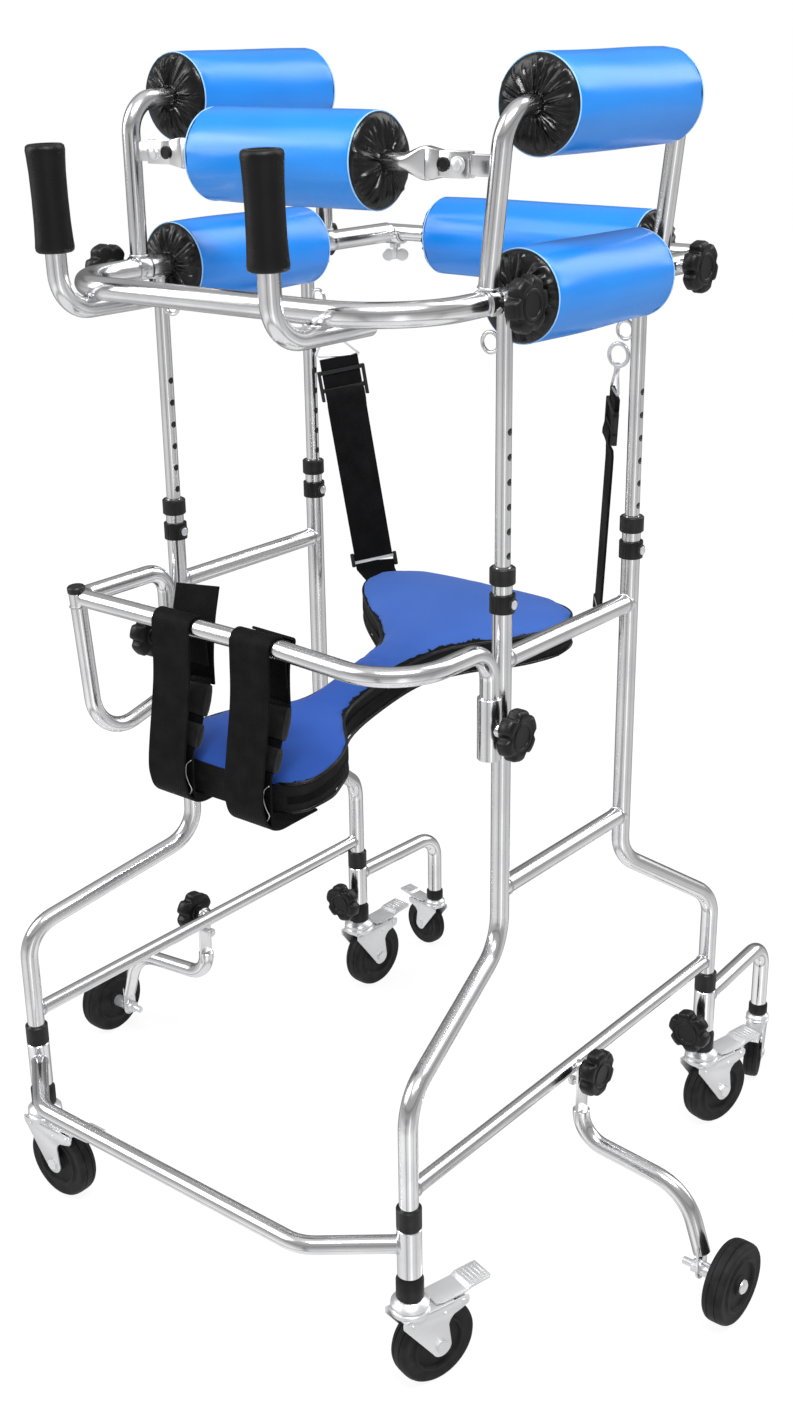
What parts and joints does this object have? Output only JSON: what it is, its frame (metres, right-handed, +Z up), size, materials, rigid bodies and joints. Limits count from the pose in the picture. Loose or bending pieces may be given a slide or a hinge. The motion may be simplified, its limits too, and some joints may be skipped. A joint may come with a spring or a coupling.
{
  "type": "forearm rollator",
  "caption": "Standing walking frame on braked casters with padded forearm, armpit, chest and back rolls, hand grips and a sling seat.",
  "frame": {"origin": "on the floor, at the centre of the box that holds the rollator", "axes": "+X to the user's left, -Y the way the user walks, +Z up"},
  "size_m": [0.9586, 0.8098, 1.2189],
  "materials": {
    "polished_steel": "polished tube",
    "zinc_plate": "bright zinc plate",
    "blue_vinyl": "semi-gloss vinyl",
    "seat_fabric": "woven cloth",
    "black_webbing": "woven webbing",
    "black_foam": "foam",
    "black_plastic": "moulded",
    "black_rubber": "moulded"
  },
  "bodies": {
    "base": {"side_frame_left": "polished_steel", "side_frame_right": "polished_steel", "front_stretcher": "polished_steel", "seat": "seat_fabric", "seat_strap_front_left": "black_webbing", "seat_strap_front_right": "black_webbing", "seat_strap_rear_left": "black_webbing", "seat_strap_rear_right": "black_webbing"},
    "upper": {"upper_frame": "polished_steel", "hand_grip_left": "black_foam", "hand_grip_right": "black_foam", "forearm_roll_left": "blue_vinyl", "forearm_roll_right": "blue_vinyl"},
    "back": {"back_bar": "polished_steel", "back_roll": "blue_vinyl"},
    "armpit_left": {"armpit_frame_left": "polished_steel", "armpit_roll_left": "blue_vinyl"},
    "armpit_right": {"armpit_frame_right": "polished_steel", "armpit_roll_right": "blue_vinyl"},
    "chest": {"chest_bar": "polished_steel", "chest_roll": "blue_vinyl"},
    "waist": {"front_bar": "polished_steel"},
    "rear_arm_left": {"rear_arm_left": "polished_steel"},
    "rear_arm_knob_left": {"rear_arm_knob_left": "black_plastic"},
    "side_arm_left": {"side_arm_left": "polished_steel"},
    "side_arm_knob_left": {"side_arm_knob_left": "black_plastic"},
    "side_wheel_left": {"side_wheel_left": "black_rubber"},
    "waist_knob_left": {"waist_knob_left": "black_plastic"},
    "ring_knob_front_left": {"ring_knob_front_left": "black_plastic"},
    "ring_knob_rear_left": {"ring_knob_rear_left": "black_plastic"},
    "height_catch_front_left": {"height_catch_front_left": "black_plastic"},
    "height_catch_rear_left": {"height_catch_rear_left": "black_plastic"},
    "rear_arm_right": {"rear_arm_right": "polished_steel"},
    "rear_arm_knob_right": {"rear_arm_knob_right": "black_plastic"},
    "side_arm_right": {"side_arm_right": "polished_steel"},
    "side_arm_knob_right": {"side_arm_knob_right": "black_plastic"},
    "side_wheel_right": {"side_wheel_right": "black_rubber"},
    "waist_knob_right": {"waist_knob_right": "black_plastic"},
    "ring_knob_front_right": {"ring_knob_front_right": "black_plastic"},
    "ring_knob_rear_right": {"ring_knob_rear_right": "black_plastic"},
    "height_catch_front_right": {"height_catch_front_right": "black_plastic"},
    "height_catch_rear_right": {"height_catch_rear_right": "black_plastic"},
    "caster_fork_front_left": {"caster_fork_front_left": "zinc_plate"},
    "caster_wheel_front_left": {"caster_wheel_front_left": "black_rubber"},
    "brake_pedal_front_left": {"brake_pedal_front_left": "zinc_plate"},
    "caster_fork_front_right": {"caster_fork_front_right": "zinc_plate"},
    "caster_wheel_front_right": {"caster_wheel_front_right": "black_rubber"},
    "brake_pedal_front_right": {"brake_pedal_front_right": "zinc_plate"},
    "caster_fork_rear_left": {"caster_fork_rear_left": "zinc_plate"},
    "caster_wheel_rear_left": {"caster_wheel_rear_left": "black_rubber"},
    "brake_pedal_rear_left": {"brake_pedal_rear_left": "zinc_plate"},
    "caster_fork_rear_right": {"caster_fork_rear_right": "zinc_plate"},
    "caster_wheel_rear_right": {"caster_wheel_rear_right": "black_rubber"},
    "brake_pedal_rear_right": {"brake_pedal_rear_right": "zinc_plate"},
    "caster_fork_arm_left": {"caster_fork_arm_left": "zinc_plate"},
    "caster_wheel_arm_left": {"caster_wheel_arm_left": "black_rubber"},
    "brake_pedal_arm_left": {"brake_pedal_arm_left": "zinc_plate"},
    "caster_fork_arm_right": {"caster_fork_arm_right": "zinc_plate"},
    "caster_wheel_arm_right": {"caster_wheel_arm_right": "black_rubber"},
    "brake_pedal_arm_right": {"brake_pedal_arm_right": "zinc_plate"}
  },
  "joints": [
    {"name": "height_slide", "type": "slide", "parent": "base", "child": "upper", "axis": [0, 0, 1], "range_m": [-0.115, 0], "deforming": ["seat_strap_rear_left", "seat_strap_rear_right"]},
    {"name": "back_bar_hinge", "type": "hinge", "parent": "upper", "child": "back", "pos_m": [0.2156, 0.19934, 1.015], "axis": [0, 1, 0], "range_deg": [0, 100]},
    {"name": "armpit_tilt_left", "type": "hinge", "parent": "upper", "child": "armpit_left", "pos_m": [0.2156, -0.00566, 1.015], "axis": [0, 1, 0], "range_deg": [-3, 10]},
    {"name": "armpit_tilt_right", "type": "hinge", "parent": "upper", "child": "armpit_right", "pos_m": [-0.2156, -0.00566, 1.015], "axis": [0, -1, 0], "range_deg": [0, 16]},
    {"name": "chest_bar_hinge", "type": "hinge", "parent": "armpit_right", "child": "chest", "pos_m": [-0.179, -0.14466, 1.1285], "axis": [0, -1, 0], "range_deg": [0, 80]},
    {"name": "waist_bar_slide", "type": "slide", "parent": "base", "child": "waist", "axis": [0, 0, 1], "range_m": [0, 0.035], "deforming": ["seat_strap_front_left", "seat_strap_front_right"]},
    {"name": "rear_arm_left_swing", "type": "hinge", "parent": "base", "child": "rear_arm_left", "pos_m": [0.2655, 0.22604, 0.155], "axis": [0, 0, 1], "range_deg": [-50, 25]},
    {"name": "rear_arm_knob_left_turn", "type": "hinge", "parent": "rear_arm_left", "child": "rear_arm_knob_left", "pos_m": [0.2655, 0.20984, 0.145], "axis": [0, -1, 0], "continuous": true},
    {"name": "side_arm_left_swing", "type": "hinge", "parent": "base", "child": "side_arm_left", "pos_m": [0.2655, -0.05266, 0.226], "axis": [1, 0, 0], "range_deg": [-40, 40]},
    {"name": "side_arm_knob_left_turn", "type": "hinge", "parent": "base", "child": "side_arm_knob_left", "pos_m": [0.2783, -0.05266, 0.226], "axis": [1, 0, 0], "continuous": true},
    {"name": "side_wheel_left_spin", "type": "hinge", "parent": "side_arm_left", "child": "side_wheel_left", "pos_m": [0.4625, -0.05266, 0.044], "axis": [1, 0, 0], "continuous": true},
    {"name": "waist_knob_left_turn", "type": "hinge", "parent": "base", "child": "waist_knob_left", "pos_m": [0.2314, -0.13736, 0.61935], "axis": [1, 0, 0], "continuous": true},
    {"name": "ring_knob_front_left_turn", "type": "hinge", "parent": "upper", "child": "ring_knob_front_left", "pos_m": [0.2307, -0.12966, 1.015], "axis": [1, 0, 0], "continuous": true},
    {"name": "ring_knob_rear_left_turn", "type": "hinge", "parent": "upper", "child": "ring_knob_rear_left", "pos_m": [0.2307, 0.16634, 1.015], "axis": [1, 0, 0], "continuous": true},
    {"name": "height_catch_front_left_pull", "type": "slide", "parent": "base", "child": "height_catch_front_left", "axis": [1, 0, 0], "range_m": [0, 0.012], "stiffness_N_per_m": 400},
    {"name": "height_catch_rear_left_pull", "type": "slide", "parent": "base", "child": "height_catch_rear_left", "axis": [1, 0, 0], "range_m": [0, 0.012], "stiffness_N_per_m": 400},
    {"name": "rear_arm_right_swing", "type": "hinge", "parent": "base", "child": "rear_arm_right", "pos_m": [-0.2655, 0.22604, 0.155], "axis": [0, 0, 1], "range_deg": [-25, 50]},
    {"name": "rear_arm_knob_right_turn", "type": "hinge", "parent": "rear_arm_right", "child": "rear_arm_knob_right", "pos_m": [-0.2655, 0.20984, 0.145], "axis": [0, -1, 0], "continuous": true},
    {"name": "side_arm_right_swing", "type": "hinge", "parent": "base", "child": "side_arm_right", "pos_m": [-0.2655, -0.05266, 0.226], "axis": [1, 0, 0], "range_deg": [-40, 40]},
    {"name": "side_arm_knob_right_turn", "type": "hinge", "parent": "base", "child": "side_arm_knob_right", "pos_m": [-0.2783, -0.05266, 0.226], "axis": [-1, 0, 0], "continuous": true},
    {"name": "side_wheel_right_spin", "type": "hinge", "parent": "side_arm_right", "child": "side_wheel_right", "pos_m": [-0.4625, -0.05266, 0.044], "axis": [1, 0, 0], "continuous": true},
    {"name": "waist_knob_right_turn", "type": "hinge", "parent": "base", "child": "waist_knob_right", "pos_m": [-0.2314, -0.13736, 0.61935], "axis": [-1, 0, 0], "continuous": true},
    {"name": "ring_knob_front_right_turn", "type": "hinge", "parent": "upper", "child": "ring_knob_front_right", "pos_m": [-0.2307, -0.16116, 1.015], "axis": [-1, 0, 0], "continuous": true},
    {"name": "ring_knob_rear_right_turn", "type": "hinge", "parent": "upper", "child": "ring_knob_rear_right", "pos_m": [-0.2307, 0.16634, 1.015], "axis": [-1, 0, 0], "continuous": true},
    {"name": "height_catch_front_right_pull", "type": "slide", "parent": "base", "child": "height_catch_front_right", "axis": [1, 0, 0], "range_m": [0, 0.012], "stiffness_N_per_m": 400},
    {"name": "height_catch_rear_right_pull", "type": "slide", "parent": "base", "child": "height_catch_rear_right", "axis": [1, 0, 0], "range_m": [0, 0.012], "stiffness_N_per_m": 400},
    {"name": "caster_front_left_swivel", "type": "hinge", "parent": "base", "child": "caster_fork_front_left", "pos_m": [0.2655, -0.32966, 0.105], "axis": [0, 0, 1], "continuous": true},
    {"name": "caster_front_left_spin", "type": "hinge", "parent": "caster_fork_front_left", "child": "caster_wheel_front_left", "pos_m": [0.27267, -0.30467, 0.044], "axis": [0.9613, -0.2756, 0], "continuous": true},
    {"name": "brake_pedal_front_left_press", "type": "hinge", "parent": "caster_fork_front_left", "child": "brake_pedal_front_left", "pos_m": [0.27983, -0.27968, 0.087], "axis": [-0.9613, 0.2756, 0], "range_deg": [0, 12]},
    {"name": "caster_front_right_swivel", "type": "hinge", "parent": "base", "child": "caster_fork_front_right", "pos_m": [-0.2655, -0.32966, 0.105], "axis": [0, 0, 1], "continuous": true},
    {"name": "caster_front_right_spin", "type": "hinge", "parent": "caster_fork_front_right", "child": "caster_wheel_front_right", "pos_m": [-0.2395, -0.32966, 0.044], "axis": [0, -1, 0], "continuous": true},
    {"name": "brake_pedal_front_right_press", "type": "hinge", "parent": "caster_fork_front_right", "child": "brake_pedal_front_right", "pos_m": [-0.2135, -0.32966, 0.087], "axis": [0, 1, 0], "range_deg": [0, 12]},
    {"name": "caster_rear_left_swivel", "type": "hinge", "parent": "base", "child": "caster_fork_rear_left", "pos_m": [0.2655, 0.22604, 0.105], "axis": [0, 0, 1], "continuous": true},
    {"name": "caster_rear_left_spin", "type": "hinge", "parent": "caster_fork_rear_left", "child": "caster_wheel_rear_left", "pos_m": [0.27179, 0.25127, 0.044], "axis": [0.9703, -0.2419, 0], "continuous": true},
    {"name": "brake_pedal_rear_left_press", "type": "hinge", "parent": "caster_fork_rear_left", "child": "brake_pedal_rear_left", "pos_m": [0.27808, 0.27649, 0.087], "axis": [-0.9703, 0.2419, 0], "range_deg": [0, 12]},
    {"name": "caster_rear_right_swivel", "type": "hinge", "parent": "base", "child": "caster_fork_rear_right", "pos_m": [-0.2655, 0.22604, 0.105], "axis": [0, 0, 1], "continuous": true},
    {"name": "caster_rear_right_spin", "type": "hinge", "parent": "caster_fork_rear_right", "child": "caster_wheel_rear_right", "pos_m": [-0.26391, 0.25199, 0.044], "axis": [0.9981, -0.061, 0], "continuous": true},
    {"name": "brake_pedal_rear_right_press", "type": "hinge", "parent": "caster_fork_rear_right", "child": "brake_pedal_rear_right", "pos_m": [-0.26232, 0.27794, 0.087], "axis": [-0.9981, 0.061, 0], "range_deg": [0, 12]},
    {"name": "caster_arm_left_swivel", "type": "hinge", "parent": "rear_arm_left", "child": "caster_fork_arm_left", "pos_m": [0.257, 0.38434, 0.07612], "axis": [0, 0, 1], "continuous": true},
    {"name": "caster_arm_left_spin", "type": "hinge", "parent": "caster_fork_arm_left", "child": "caster_wheel_arm_left", "pos_m": [0.26345, 0.36662, 0.0319], "axis": [-0.9397, -0.342, 0], "continuous": true},
    {"name": "brake_pedal_arm_left_press", "type": "hinge", "parent": "caster_fork_arm_left", "child": "brake_pedal_arm_left", "pos_m": [0.26989, 0.34891, 0.06308], "axis": [0.9397, 0.342, 0], "range_deg": [0, 12]},
    {"name": "caster_arm_right_swivel", "type": "hinge", "parent": "rear_arm_right", "child": "caster_fork_arm_right", "pos_m": [-0.257, 0.38434, 0.07612], "axis": [0, 0, 1], "continuous": true},
    {"name": "caster_arm_right_spin", "type": "hinge", "parent": "caster_fork_arm_right", "child": "caster_wheel_arm_right", "pos_m": [-0.27556, 0.38761, 0.0319], "axis": [0.1736, 0.9848, 0], "continuous": true},
    {"name": "brake_pedal_arm_right_press", "type": "hinge", "parent": "caster_fork_arm_right", "child": "brake_pedal_arm_right", "pos_m": [-0.29413, 0.39088, 0.06308], "axis": [-0.1736, -0.9848, 0], "range_deg": [0, 12]}
  ]
}
